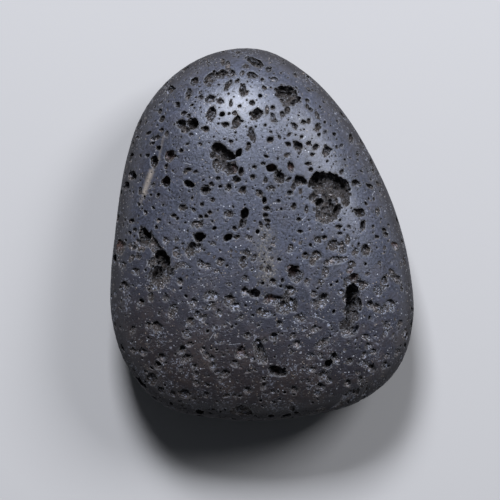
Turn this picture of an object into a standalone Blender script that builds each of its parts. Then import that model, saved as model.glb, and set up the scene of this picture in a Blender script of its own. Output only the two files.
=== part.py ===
"""A tumbled pebble of vesicular lava: one stone with a worn skin that cuts through its gas bubbles."""

import math
import random

import bmesh
import bpy
from mathutils import Matrix, Vector, noise

MM = 0.001

# The stone's driving sizes: about 50 mm long, 40 mm wide and 19 mm thick, on a small worn foot.
OUTLINE_RADII = [  # from the middle to the outline seen from above, every 15 degrees from +X towards +Y
    18.8, 17.9, 17.75, 18.5, 20.1, 22.4, 24.7, 25.15, 24.35, 22.8, 20.95, 19.85,
    19.8, 21.05, 23.3, 25.45, 26.6, 25.6, 25.05, 25.15, 25.95, 25.65, 23.35, 20.6,
]
DOME_HEIGHT = 10.2 * MM  # from the widest line up to the top
BELLY_DEPTH = 9.1 * MM  # from the widest line down to where the belly would end without its foot
FOOT_CUT = 0.3 * MM  # how much of the belly is worn flat
DOME_CURVE = 2.5  # the exponents of the side's curve above and below: 2 is an ellipse, more is squarer
BELLY_CURVE = 2.2
WAIST_WAVE = 0.9 * MM  # how far the widest line wanders up and down
SWELL = 0.45 * MM  # height of the broad, low swells on the faces
SWELL_LENGTH = 13 * MM
SKIN_CUTS = 10  # cuts along each edge of the cube that the skin is made from
SLOPE_STEP = 0.01  # how far round the stone two points lie whose difference gives the skin's slope

LAVA_COLOUR = (0.072, 0.075, 0.092, 1.0)
LAVA_ROUGHNESS = 0.42
RIM_ANGLE = math.radians(35)  # edges sharper than this are drawn sharp: the rims of the pits

# Pits: x, y of the middle of the mouth, its length and width, the turn of its length from +X, its depth.
# All are in millimetres and degrees. A crater is several bubbles that ran together.
CRATERS = {
    "east": [
        (7.3, 7.0, 2.8, 2.0, 70, 1.8), (8.9, 7.0, 2.8, 2.2, 0, 1.6), (10.6, 6.1, 2.9, 2.0, -55, 2.0),
        (11.0, 4.7, 1.8, 1.2, 90, 1.4), (8.6, 3.4, 3.6, 3.3, 45, 1.5), (9.6, 4.9, 2.0, 1.7, 0, 1.5),
    ],
    "north_west": [
        (-5.7, 11.3, 2.3, 1.5, -25, 1.7), (-4.6, 10.4, 2.3, 1.4, -15, 1.6), (-3.15, 10.7, 1.4, 1.0, 65, 1.6),
        (-5.7, 9.4, 2.0, 1.7, 80, 1.1), (-4.2, 8.7, 2.0, 1.7, 0, 1.5), (-3.4, 7.4, 1.3, 1.0, -20, 1.1),
    ],
    "west": [
        (-15.7, 0.4, 1.5, 1.3, 70, 1.5), (-16.5, -1.1, 2.9, 2.2, 30, 1.0), (-14.5, -0.9, 2.0, 1.4, -50, 1.4),
        (-13.7, -2.8, 2.3, 1.7, -70, 1.9), (-12.7, -4.0, 1.8, 1.1, -60, 1.4), (-13.9, -4.4, 1.8, 1.5, 80, 1.6),
        (-13.6, -5.5, 1.5, 1.3, 0, 1.8), (-14.5, -6.1, 1.7, 1.0, 30, 1.5),
    ],
    "south_east": [
        (11.8, -5.9, 1.8, 1.2, 25, 1.3), (12.3, -7.6, 1.9, 1.5, 90, 1.8), (12.6, -9.2, 2.0, 1.7, 70, 1.7),
        (12.2, -10.5, 1.9, 1.6, 60, 1.7), (11.8, -11.6, 1.7, 1.4, 90, 1.7), (10.8, -12.3, 1.8, 1.3, 30, 1.3),
    ],
    "north": [(3.1, 18.6, 2.7, 2.4, 60, 1.6), (4.4, 17.7, 1.6, 1.0, 30, 1.4)],
    "middle": [
        (4.2, -5.2, 1.8, 1.6, 70, 1.3), (3.6, -7.1, 1.6, 0.9, 60, 1.1), (3.1, -8.6, 1.7, 0.9, 80, 1.2),
        (1.6, -8.5, 2.3, 0.9, -5, 1.1),
    ],
    "left_middle": [(-8.4, -0.4, 1.6, 1.3, 40, 1.7), (-9.3, -1.6, 1.7, 1.0, 55, 1.3)],
    "slot": [(-2.3, 2.6, 1.8, 1.2, 60, 1.7), (-2.65, 1.5, 1.8, 1.1, 85, 1.4)],
}
PITS = [
    (-9.3, 14.6, 1.8, 1.6, 0, 1.6), (-10.7, 14.6, 1.5, 1.2, 20, 1.2), (-1.0, 22.9, 2.5, 1.2, -40, 1.5),
    (-0.25, -15.5, 2.1, 1.1, 85, 2.0), (-14.4, 9.6, 1.6, 1.1, 90, 1.7), (-12.8, 6.9, 1.5, 1.2, 70, 1.5),
    (-12.3, 10.3, 1.6, 1.2, 60, 1.2), (-9.6, 6.6, 1.7, 1.0, -20, 1.3), (-7.6, 5.7, 1.3, 1.2, -40, 1.3),
    (-4.6, -0.5, 1.4, 1.0, 25, 1.5), (-9.5, 19.2, 2.8, 1.2, 75, 1.2), (-6.9, 20.8, 2.0, 1.1, 50, 1.2),
    (-7.0, 17.9, 1.4, 0.9, 15, 1.1), (-6.8, 15.9, 1.9, 1.2, 80, 1.0), (-5.5, 21.3, 1.3, 0.9, 60, 1.0),
    (-4.35, 21.3, 1.4, 0.9, 0, 0.8), (-4.6, 19.7, 1.8, 0.7, 60, 1.0), (-2.65, 19.0, 1.9, 0.9, 90, 1.1),
    (-1.4, 21.1, 1.4, 0.9, -30, 1.1), (-0.8, 15.85, 1.5, 1.3, 60, 1.2), (-3.4, 14.8, 1.9, 1.1, 70, 1.2),
    (-1.4, 13.0, 2.0, 0.8, -75, 1.1), (-1.8, 11.6, 1.3, 0.8, 80, 1.0), (-4.85, 14.5, 1.1, 0.8, 0, 0.9),
    (3.3, 16.3, 1.1, 0.9, 90, 0.9), (4.2, 14.4, 1.2, 0.8, -50, 0.9), (4.75, 11.6, 1.3, 1.2, 60, 1.2),
    (7.0, 11.5, 1.2, 0.8, 50, 0.9), (8.45, 10.9, 1.5, 1.0, 70, 1.3), (11.85, 12.7, 1.6, 0.9, 85, 1.4),
    (7.4, 14.1, 1.3, 0.9, 80, 0.9), (1.2, 8.7, 1.5, 1.1, 0, 1.2), (2.2, 7.6, 1.8, 1.2, -60, 1.2),
    (3.75, 8.9, 1.4, 0.8, -80, 0.9), (5.1, 7.1, 1.7, 1.2, -20, 1.2), (3.8, 5.8, 1.4, 0.8, 60, 1.0),
    (0.6, 2.8, 1.4, 1.0, 80, 0.9), (4.15, 3.65, 1.1, 0.8, 90, 0.9), (-4.5, 2.6, 1.3, 0.9, -10, 0.7),
    (-7.9, 2.0, 1.7, 1.0, 0, 0.7), (-10.65, 3.45, 1.2, 1.0, 0, 0.7), (-4.45, 6.1, 1.1, 0.8, 70, 1.0),
    (9.4, -1.2, 1.2, 0.9, 20, 1.0), (10.5, -1.4, 1.1, 0.8, 90, 0.9), (9.8, -3.2, 2.1, 0.7, -5, 0.8),
    (12.9, 2.85, 1.4, 1.0, 20, 0.8), (13.3, 1.1, 1.3, 0.8, 85, 1.2), (12.45, 6.75, 1.3, 0.9, 10, 0.8),
    (16.4, -0.1, 1.1, 0.9, 50, 1.0), (13.7, -1.85, 1.0, 0.8, 90, 1.1), (16.2, -6.1, 1.3, 0.8, 80, 1.3),
    (14.5, -9.4, 1.5, 0.9, -30, 1.2), (16.8, -9.2, 1.5, 1.1, -60, 1.0), (7.95, -8.3, 1.5, 0.9, 30, 1.2),
    (6.9, -2.9, 1.3, 0.9, 70, 0.9), (-2.4, -3.0, 1.7, 0.8, 55, 1.2), (-1.0, -7.9, 1.4, 1.1, 0, 0.9),
    (-4.3, -8.6, 1.3, 0.9, 40, 1.1), (-16.1, -8.8, 0.9, 0.8, 90, 1.1), (-18.4, -6.8, 1.2, 1.0, 0, 1.0),
    (-19.0, -1.5, 1.4, 1.0, 80, 1.0), (-17.4, 7.8, 1.6, 1.2, 80, 1.1), (-18.1, 6.4, 1.3, 1.0, 80, 0.9),
    (-14.1, -12.1, 1.4, 1.0, 0, 1.1), (-10.7, -15.1, 1.1, 0.8, 80, 1.0), (-7.6, -15.7, 1.5, 0.9, -50, 1.0),
    (-13.4, -16.2, 1.0, 0.8, 20, 1.0), (-13.9, -17.3, 0.9, 0.8, 0, 1.1), (-14.8, -19.0, 1.3, 1.1, 80, 1.0),
    (-10.3, -20.9, 1.4, 0.9, 20, 1.0), (-5.0, -18.3, 1.3, 0.8, 20, 0.9), (1.9, -18.3, 2.5, 1.3, -25, 1.1),
    (-2.7, -23.5, 2.3, 1.0, 12, 1.1), (7.9, -14.3, 1.6, 0.7, 30, 0.8), (9.5, -16.2, 1.1, 0.8, 90, 1.2),
    (8.6, -17.5, 1.7, 1.1, 65, 1.3), (11.7, -21.2, 1.9, 1.1, 15, 1.1), (13.6, -21.2, 1.6, 0.9, 60, 0.9),
    (14.5, -17.6, 1.1, 0.8, -20, 1.0), (16.3, -17.3, 1.0, 0.8, 0, 0.8),
]
FACES_BY_WIDTH = [(1.45, 8, 5), (0.95, 7, 4), (0.0, 6, 3)]  # wider than this: sides round it, rings down it

# Pits on the sides and the belly, spread evenly and then jostled by chance.
FLANK_PITS = 30
FLANK_PIT_WIDTHS = (1.0, 2.1)
FLANK_PIT_STRETCH = 1.6  # the most that one is longer than wide
FLANK_PIT_DEPTH = 0.8  # as a share of its width
FLANK_RISES = (-0.85, 0.1)  # how low and how high they lie, as the height of a unit direction
FLANK_JOSTLE = 0.25
FLANK_SEED = 11
GOLDEN_TURN = math.pi * (3 - math.sqrt(5))

SINK = 0.3  # how far a bubble's middle lies below the skin, as a share of its half depth
LUMPINESS = 0.1  # how far a bubble's wall strays from a smooth one, as a share of its size
LUMPS_ACROSS = 1.7  # how many such lumps a bubble's half width holds


def clear_scene():
    for thing in list(bpy.data.objects):
        bpy.data.objects.remove(thing)


def outline_radius(angle):
    """Smooth closed curve through OUTLINE_RADII."""
    count = len(OUTLINE_RADII)
    place = (angle / math.tau % 1.0) * count
    first = int(place)
    share = place - first
    before, start, end, after = (OUTLINE_RADII[(first + step) % count] for step in (-1, 0, 1, 2))
    slope_in = (end - before) / 2
    slope_out = (after - start) / 2
    bend = 3 * (end - start) - 2 * slope_in - slope_out
    twist = slope_in + slope_out - 2 * (end - start)
    return (start + share * (slope_in + share * (bend + share * twist))) * MM


def skin(direction):
    """The point of the worn skin that lies in this direction from the stone's middle."""
    flat = math.hypot(direction.x, direction.y)
    curve = DOME_CURVE if direction.z > 0 else BELLY_CURVE
    reach = (flat**curve + abs(direction.z) ** curve) ** (-1 / curve)
    angle = math.atan2(direction.y, direction.x)
    out = flat * reach * outline_radius(angle)
    rise = abs(direction.z) * reach
    x = out * math.cos(angle)
    y = out * math.sin(angle)
    side = 1 if direction.z > 0 else -1
    height = DOME_HEIGHT if direction.z > 0 else BELLY_DEPTH
    swell = SWELL * noise.noise(Vector((x, y, side * SWELL_LENGTH)) / SWELL_LENGTH)
    waist = WAIST_WAVE * noise.noise(Vector((math.cos(angle), math.sin(angle), 3.0)))
    return Vector((x, y, waist * (1 - rise) + side * rise * height + swell * rise))


def skin_normal(direction):
    across = direction.orthogonal().normalized() * SLOPE_STEP
    along = direction.cross(across).normalized() * SLOPE_STEP
    return (skin(direction + across) - skin(direction - across)).cross(
        skin(direction + along) - skin(direction - along)
    ).normalized()


def direction_above(x, y):
    """The direction of the skin point of the upper face that has this x and y."""
    angle = math.atan2(y, x)
    share = min(math.hypot(x, y) / outline_radius(angle), 0.999)
    rise = (1 - share**DOME_CURVE) ** (1 / DOME_CURVE)
    return Vector((share * math.cos(angle), share * math.sin(angle), rise)).normalized()


def worn_body():
    """The stone before its bubbles were opened: a rounded cube grid pulled out to the skin."""
    mesh = bmesh.new()
    bmesh.ops.create_cube(mesh, size=2)
    bmesh.ops.subdivide_edges(mesh, edges=mesh.edges[:], cuts=SKIN_CUTS, use_grid_fill=True)
    foot = -BELLY_DEPTH + FOOT_CUT
    for corner in mesh.verts:
        even = Vector(math.tan(value * math.pi / 4) for value in corner.co)
        corner.co = skin(even.normalized())
        corner.co.z = max(corner.co.z, foot)
    bmesh.ops.triangulate(mesh, faces=mesh.faces[:])
    return mesh


def add_bubble(mesh, direction, length, width, turn, depth):
    """Adds one lumpy gas bubble whose mouth on the skin has this length and width."""
    sides, rings = next(faces for widest, *faces in FACES_BY_WIDTH if width > widest * MM)
    outward = skin_normal(direction)
    east = Vector((1, 0, 0))
    east = (east - outward * east.dot(outward)).normalized()
    north = outward.cross(east)
    half_depth = depth / (1 + SINK)
    mouth_share = math.sqrt(1 - SINK**2)
    axes = Matrix((east, north, outward)).transposed().to_4x4()
    place = (
        Matrix.Translation(skin(direction) - outward * SINK * half_depth)
        @ axes
        @ Matrix.Rotation(turn, 4, "Z")
        @ Matrix.Diagonal((length / 2 / mouth_share, width / 2 / mouth_share, half_depth, 1))
    )
    made = bmesh.ops.create_uvsphere(mesh, u_segments=sides, v_segments=rings, radius=1)
    for corner in made["verts"]:
        lump = noise.noise(corner.co * LUMPS_ACROSS + skin(direction) / MM)
        corner.co = place @ (corner.co * (1 + LUMPINESS * lump))


def bubbles():
    """All the gas bubbles that the worn skin cuts through."""
    mesh = bmesh.new()
    crater_bubbles = [row for crater in CRATERS.values() for row in crater]
    for x, y, length, width, turn, depth in crater_bubbles + PITS:
        where = direction_above(x * MM, y * MM)
        add_bubble(mesh, where, length * MM, width * MM, math.radians(turn), depth * MM)
    chance = random.Random(FLANK_SEED)
    for index in range(FLANK_PITS):
        share = (index + 0.5) / FLANK_PITS
        rise = FLANK_RISES[0] + share * (FLANK_RISES[1] - FLANK_RISES[0])
        angle = index * GOLDEN_TURN + chance.uniform(-FLANK_JOSTLE, FLANK_JOSTLE)
        flat = math.sqrt(1 - rise**2)
        where = Vector((flat * math.cos(angle), flat * math.sin(angle), rise))
        width = chance.uniform(*FLANK_PIT_WIDTHS) * MM
        length = width * chance.uniform(1.0, FLANK_PIT_STRETCH)
        add_bubble(mesh, where, length, width, chance.uniform(0, math.tau), width * FLANK_PIT_DEPTH)
    return mesh


def lava():
    material = bpy.data.materials.new("worn lava")
    material.use_nodes = True
    shader = material.node_tree.nodes["Principled BSDF"]
    shader.inputs["Base Color"].default_value = LAVA_COLOUR
    shader.inputs["Roughness"].default_value = LAVA_ROUGHNESS
    shader.inputs["Metallic"].default_value = 0.0
    return material


def link(name, mesh):
    data = bpy.data.meshes.new(name)
    mesh.to_mesh(data)
    mesh.free()
    thing = bpy.data.objects.new(name, data)
    bpy.context.scene.collection.objects.link(thing)
    return thing


def without_crumbs(stone):
    """The cut stone as a mesh, less any crumb that is left loose where bubbles surround it."""
    bpy.context.view_layer.update()
    evaluated = stone.evaluated_get(bpy.context.evaluated_depsgraph_get())
    mesh = bmesh.new()
    mesh.from_mesh(evaluated.to_mesh())
    evaluated.to_mesh_clear()
    unseen = set(mesh.verts)
    bodies = []
    while unseen:
        edge_of_body = [unseen.pop()]
        body = list(edge_of_body)
        while edge_of_body:
            near = {edge.other_vert(corner) for corner in edge_of_body for edge in corner.link_edges}
            edge_of_body = list(near & unseen)
            unseen -= near
            body += edge_of_body
        bodies.append(body)
    bodies.sort(key=len)
    crumbs = [corner for body in bodies[:-1] for corner in body]
    bmesh.ops.delete(mesh, geom=crumbs, context="VERTS")
    return mesh


def foot_centre(stone):
    """The middle of the stone's footprint, at the height of its foot."""
    lows, highs = ([pick(c[axis] for c in stone.bound_box) for axis in range(3)] for pick in (min, max))
    return Vector(((lows[0] + highs[0]) / 2, (lows[1] + highs[1]) / 2, lows[2]))


def main():
    clear_scene()
    stone = link("lava_stone", worn_body())
    stone.data.materials.append(lava())
    cutter = link("gas_bubbles", bubbles())
    cutter.hide_render = True
    cutter.display_type = "WIRE"
    stone.location = -foot_centre(stone)
    cutter.location = stone.location

    cut = stone.modifiers.new("open bubbles", "BOOLEAN")
    cut.object = cutter
    cut.operation = "DIFFERENCE"
    cut.solver = "EXACT"
    cut.use_self = True
    whole = without_crumbs(stone)
    stone.modifiers.remove(cut)
    whole.to_mesh(stone.data)
    whole.free()
    stone.data.shade_smooth()
    stone.data.set_sharp_from_angle(angle=RIM_ANGLE)


main()
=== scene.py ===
"""A tumbled pebble of black vesicular lava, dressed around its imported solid, on a pale studio floor."""

import math
import random

import bmesh
import bpy
import numpy as np
from mathutils import Matrix, Vector, noise


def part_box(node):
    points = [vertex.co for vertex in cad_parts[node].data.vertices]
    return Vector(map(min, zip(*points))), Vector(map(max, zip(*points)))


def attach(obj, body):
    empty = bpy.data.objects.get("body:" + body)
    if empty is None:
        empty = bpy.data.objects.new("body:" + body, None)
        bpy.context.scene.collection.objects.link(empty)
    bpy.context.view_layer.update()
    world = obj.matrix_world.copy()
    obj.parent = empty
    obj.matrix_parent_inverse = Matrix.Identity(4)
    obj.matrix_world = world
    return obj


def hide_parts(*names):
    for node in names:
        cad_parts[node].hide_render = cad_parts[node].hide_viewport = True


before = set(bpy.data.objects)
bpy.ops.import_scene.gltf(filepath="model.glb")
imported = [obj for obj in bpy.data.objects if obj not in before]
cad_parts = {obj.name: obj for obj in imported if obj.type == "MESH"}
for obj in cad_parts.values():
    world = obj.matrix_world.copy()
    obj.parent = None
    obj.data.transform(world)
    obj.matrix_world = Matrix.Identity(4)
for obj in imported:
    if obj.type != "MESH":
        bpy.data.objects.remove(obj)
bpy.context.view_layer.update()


# ---- The worn stone ----
# A pebble of vesicular basalt, ground egg-shaped by tumbling: a domed face, a flatter belly and a
# small foot worn flat. Its skin is a closed curve seen from above, with a rounded side all round it.

OUTLINE_RADII = [  # mm from the middle to the outline seen from above, every 15 degrees from +X towards +Y
    18.8, 17.9, 17.75, 18.5, 20.1, 22.4, 24.7, 25.15, 24.35, 22.8, 20.95, 19.85,
    19.8, 21.05, 23.3, 25.45, 26.6, 25.6, 25.05, 25.15, 25.95, 25.65, 23.35, 20.6,
]
DOME_HEIGHT = 10.2  # mm from the widest line up to the top
BELLY_DEPTH = 9.1  # mm from the widest line down to where the belly would end without its foot
FOOT_CUT = 0.3  # mm of the belly worn flat
DOME_CURVE = 2.5  # the exponents of the side's curve above and below: 2 is an ellipse, more is squarer
BELLY_CURVE = 2.2
WAIST_WAVE = 0.9  # mm that the widest line wanders up and down
SWELL = 0.45  # mm, the height of the broad, low swells on the faces
SWELL_LENGTH = 13
SKIN_CUTS = 28  # cuts along each edge of the cube that the skin is made from
SLOPE_STEP = 0.01  # how far round the stone two points lie whose difference gives the skin's slope


def outline_radius(angle):
    """Smooth closed curve through OUTLINE_RADII."""
    count = len(OUTLINE_RADII)
    place = (angle / math.tau % 1.0) * count
    first = int(place)
    share = place - first
    before, start, end, after = (OUTLINE_RADII[(first + step) % count] for step in (-1, 0, 1, 2))
    slope_in = (end - before) / 2
    slope_out = (after - start) / 2
    bend = 3 * (end - start) - 2 * slope_in - slope_out
    twist = slope_in + slope_out - 2 * (end - start)
    return start + share * (slope_in + share * (bend + share * twist))


def waist_height(angle):
    return WAIST_WAVE * noise.noise(Vector((math.cos(angle), math.sin(angle), 3.0)))


def skin(direction):
    """The point of the worn skin, in mm, that lies in this direction from the stone's middle."""
    flat = math.hypot(direction.x, direction.y)
    curve = DOME_CURVE if direction.z > 0 else BELLY_CURVE
    reach = (flat**curve + abs(direction.z) ** curve) ** (-1 / curve)
    angle = math.atan2(direction.y, direction.x)
    out = flat * reach * outline_radius(angle)
    rise = abs(direction.z) * reach
    x = out * math.cos(angle)
    y = out * math.sin(angle)
    side = 1 if direction.z > 0 else -1
    height = DOME_HEIGHT if direction.z > 0 else BELLY_DEPTH
    swell = SWELL * noise.noise(Vector((x, y, side * SWELL_LENGTH)) / SWELL_LENGTH)
    return Vector((x, y, waist_height(angle) * (1 - rise) + side * rise * height + swell * rise))


def skin_normal(direction):
    across = direction.orthogonal().normalized() * SLOPE_STEP
    along = direction.cross(across).normalized() * SLOPE_STEP
    return (skin(direction + across) - skin(direction - across)).cross(
        skin(direction + along) - skin(direction - along)
    ).normalized()


def direction_above(x, y):
    """The direction of the skin point of the upper face that has this x and y."""
    angle = math.atan2(y, x)
    share = min(math.hypot(x, y) / outline_radius(angle), 0.999)
    rise = (1 - share**DOME_CURVE) ** (1 / DOME_CURVE)
    return Vector((share * math.cos(angle), share * math.sin(angle), rise)).normalized()


def direction_of(point):
    """The direction whose skin point lies straight out from this point in or on the stone."""
    angle = math.atan2(point.y, point.x)
    share = math.hypot(point.x, point.y) / outline_radius(angle)
    up = point.z - waist_height(angle) * max(0.0, 1 - abs(point.z) / DOME_HEIGHT)
    return Vector((share * math.cos(angle), share * math.sin(angle),
                   up / (DOME_HEIGHT if up > 0 else BELLY_DEPTH))).normalized()


def worn_skin():
    """The stone before its bubbles were opened: a rounded cube grid pulled out to the skin."""
    mesh = bmesh.new()
    bmesh.ops.create_cube(mesh, size=2)
    bmesh.ops.subdivide_edges(mesh, edges=mesh.edges[:], cuts=SKIN_CUTS, use_grid_fill=True)
    for corner in mesh.verts:
        even = Vector(math.tan(value * math.pi / 4) for value in corner.co)
        corner.co = skin(even.normalized())
        corner.co.z = max(corner.co.z, FOOT_CUT - BELLY_DEPTH)
    bmesh.ops.triangulate(mesh, faces=mesh.faces[:])
    return mesh


# ---- The gas bubbles ----
# Gas froze in the lava as bubbles, and tumbling cut them open: craters where several ran together,
# hundreds of pits a millimetre or less across, and fine pores between them all round the stone.

# Craters: the x, y, length, width, turn from +X and depth of each lobe's mouth, in mm and degrees.
CRATERS = [
    [  # east, the widest, with a rough lit floor
        (7.3, 7.0, 2.6, 1.9, 70, 2.3), (8.9, 7.0, 2.6, 2.0, 0, 1.4), (10.6, 6.1, 2.7, 1.8, -55, 2.1),
        (11.0, 4.7, 2.0, 1.1, 90, 1.3), (8.6, 3.2, 3.2, 2.9, 45, 1.6), (8.4, 5.2, 3.6, 1.9, 10, 0.8),
        (7.7, 4.2, 1.0, 1.0, 0, 2.2), (10.0, 3.2, 1.5, 0.7, 70, 2.2), (9.3, 2.6, 1.2, 0.9, 0, 1.9),
    ],
    [  # north-west
        (-5.7, 11.3, 2.0, 1.3, -25, 1.7), (-4.6, 10.4, 2.0, 1.2, -15, 2.2), (-3.15, 10.7, 1.1, 0.75, 65, 1.8),
        (-5.7, 9.4, 1.8, 1.5, 80, 1.1), (-4.2, 8.7, 1.8, 1.5, 0, 1.5), (-3.4, 7.2, 1.0, 0.7, -20, 1.1),
        (-2.85, 8.2, 1.1, 0.6, 80, 1.0), (-6.6, 10.4, 0.9, 0.6, 80, 0.9),
    ],
    [  # west, down the left side
        (-15.8, -0.2, 2.2, 1.1, 90, 1.9), (-16.1, -1.4, 2.0, 1.3, 10, 0.6), (-14.3, -1.2, 3.0, 0.7, -62, 1.4),
        (-13.3, -3.5, 2.6, 1.8, -65, 2.3), (-14.2, -5.3, 2.5, 1.5, 60, 2.5), (-12.7, -5.3, 1.7, 1.2, 70, 0.8),
        (-13.8, -6.3, 2.0, 0.7, 5, 0.4), (-14.2, -3.6, 1.2, 0.9, 0, 1.0),
    ],
    [  # south-east, a ragged cleft
        (11.8, -5.9, 1.5, 0.9, 25, 1.5), (13.0, -6.5, 1.2, 0.6, -25, 0.9), (12.0, -7.9, 2.0, 1.7, 90, 2.6),
        (11.4, -8.2, 0.9, 0.9, 0, 1.2), (12.1, -9.4, 2.2, 2.0, 80, 2.9), (11.9, -10.8, 1.8, 1.6, 60, 2.7),
        (11.4, -9.8, 0.9, 0.6, 30, 1.0), (11.6, -11.6, 1.5, 1.2, 80, 2.5), (10.8, -12.1, 1.3, 1.0, 30, 1.6),
        (11.5, -12.9, 2.0, 1.1, 15, 0.7),
    ],
    [  # north
        (3.15, 18.7, 2.6, 1.9, 15, 1.5), (2.4, 19.3, 0.9, 0.5, 70, 1.2), (4.5, 17.8, 1.3, 0.8, 35, 1.8),
        (3.2, 17.7, 1.7, 1.1, -10, 0.7),
    ],
    [  # middle, a wandering chain
        (4.05, -5.15, 1.7, 1.2, 80, 1.4), (4.6, -5.3, 1.0, 0.8, 55, 0.8), (3.7, -4.4, 0.8, 0.5, 15, 0.4),
        (3.6, -7.2, 0.9, 0.6, 0, 1.0), (3.2, -8.3, 1.4, 0.5, 80, 1.1),
        (2.75, -9.4, 1.0, 0.9, 0, 1.4), (1.7, -8.5, 2.0, 0.6, -5, 0.9), (0.6, -8.6, 0.6, 0.5, 0, 0.9),
        (3.9, -9.3, 1.4, 1.2, 0, 0.5),
    ],
    [(-8.4, -0.4, 1.3, 1.1, 40, 1.8), (-9.4, -1.7, 1.2, 0.8, 55, 1.5), (-8.5, -1.6, 0.7, 0.6, 0, 0.8)],
    [(-2.35, 2.7, 1.4, 0.9, 70, 1.9), (-2.6, 1.5, 1.4, 0.85, 80, 1.5)],
    [(-9.2, 14.6, 1.5, 1.4, 0, 1.9), (-10.8, 14.6, 1.2, 1.0, 0, 1.2), (-10.2, 13.8, 1.2, 0.7, 0, 1.2)],
]
# Pits on the domed face: x and y, then length and width, then the turn, in mm and degrees. What a row
# leaves out is as in SMALL_PIT. Deep ones undercut their mouths.
SMALL_PIT = (0.5, 0.4, 0)
DEEP_PITS = [
    (-1.0, 22.9, 2.3, 1.0, -40), (-11.3, 17.2, 0.6, 0.55), (-13.8, 11.4, 0.6, 0.5), (-0.3, 18.3, 0.45, 0.4),
    (-5.35, 15.85, 0.65, 0.6), (11.85, 12.7, 1.2, 0.6, 85), (9.6, 13.2, 0.45, 0.4),
    (-14.4, 9.6, 1.4, 0.9, 90), (-12.8, 6.9, 1.3, 1.0, 70), (-9.7, 6.6, 1.4, 0.8, -20),
    (1.15, 8.7, 1.3, 0.9), (-0.65, 0.3, 0.5, 0.4, 80), (-4.6, -0.5, 1.2, 0.85, 25),
    (13.3, 1.1, 1.2, 0.6, 85), (-10.9, -6.1, 0.55, 0.4, -60), (-16.1, -8.9, 0.6, 0.5),
    (-10.7, -15.15, 0.8, 0.5, 60), (-13.9, -17.3, 0.6, 0.55), (-2.55, -3.4, 0.9, 0.6, 70),
    (1.35, -6.2, 0.55, 0.45), (5.65, -2.7, 0.5, 0.45), (-2.35, -7.4, 0.65, 0.5), (2.25, -11.7),
    (-0.25, -15.5, 1.9, 0.85, -85), (1.5, -13.4, 0.7, 0.5), (13.7, -1.85, 0.8, 0.65, 90),
    (14.3, -9.2, 0.6, 0.5), (16.2, -6.1, 1.1, 0.5, 85), (7.95, -8.4, 1.2, 0.7, 30),
    (9.5, -16.2, 0.9, 0.6, 90), (8.75, -17.3, 1.2, 1.0, 65), (7.7, -20.1, 0.7, 0.45),
    (14.6, -17.7, 0.6, 0.55), (0.25, 4.4, 0.9, 0.5, 90), (-17.4, 7.8, 1.2, 1.0, 80),
    (-18.2, 6.4, 1.0, 0.9, 80),
]
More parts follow.
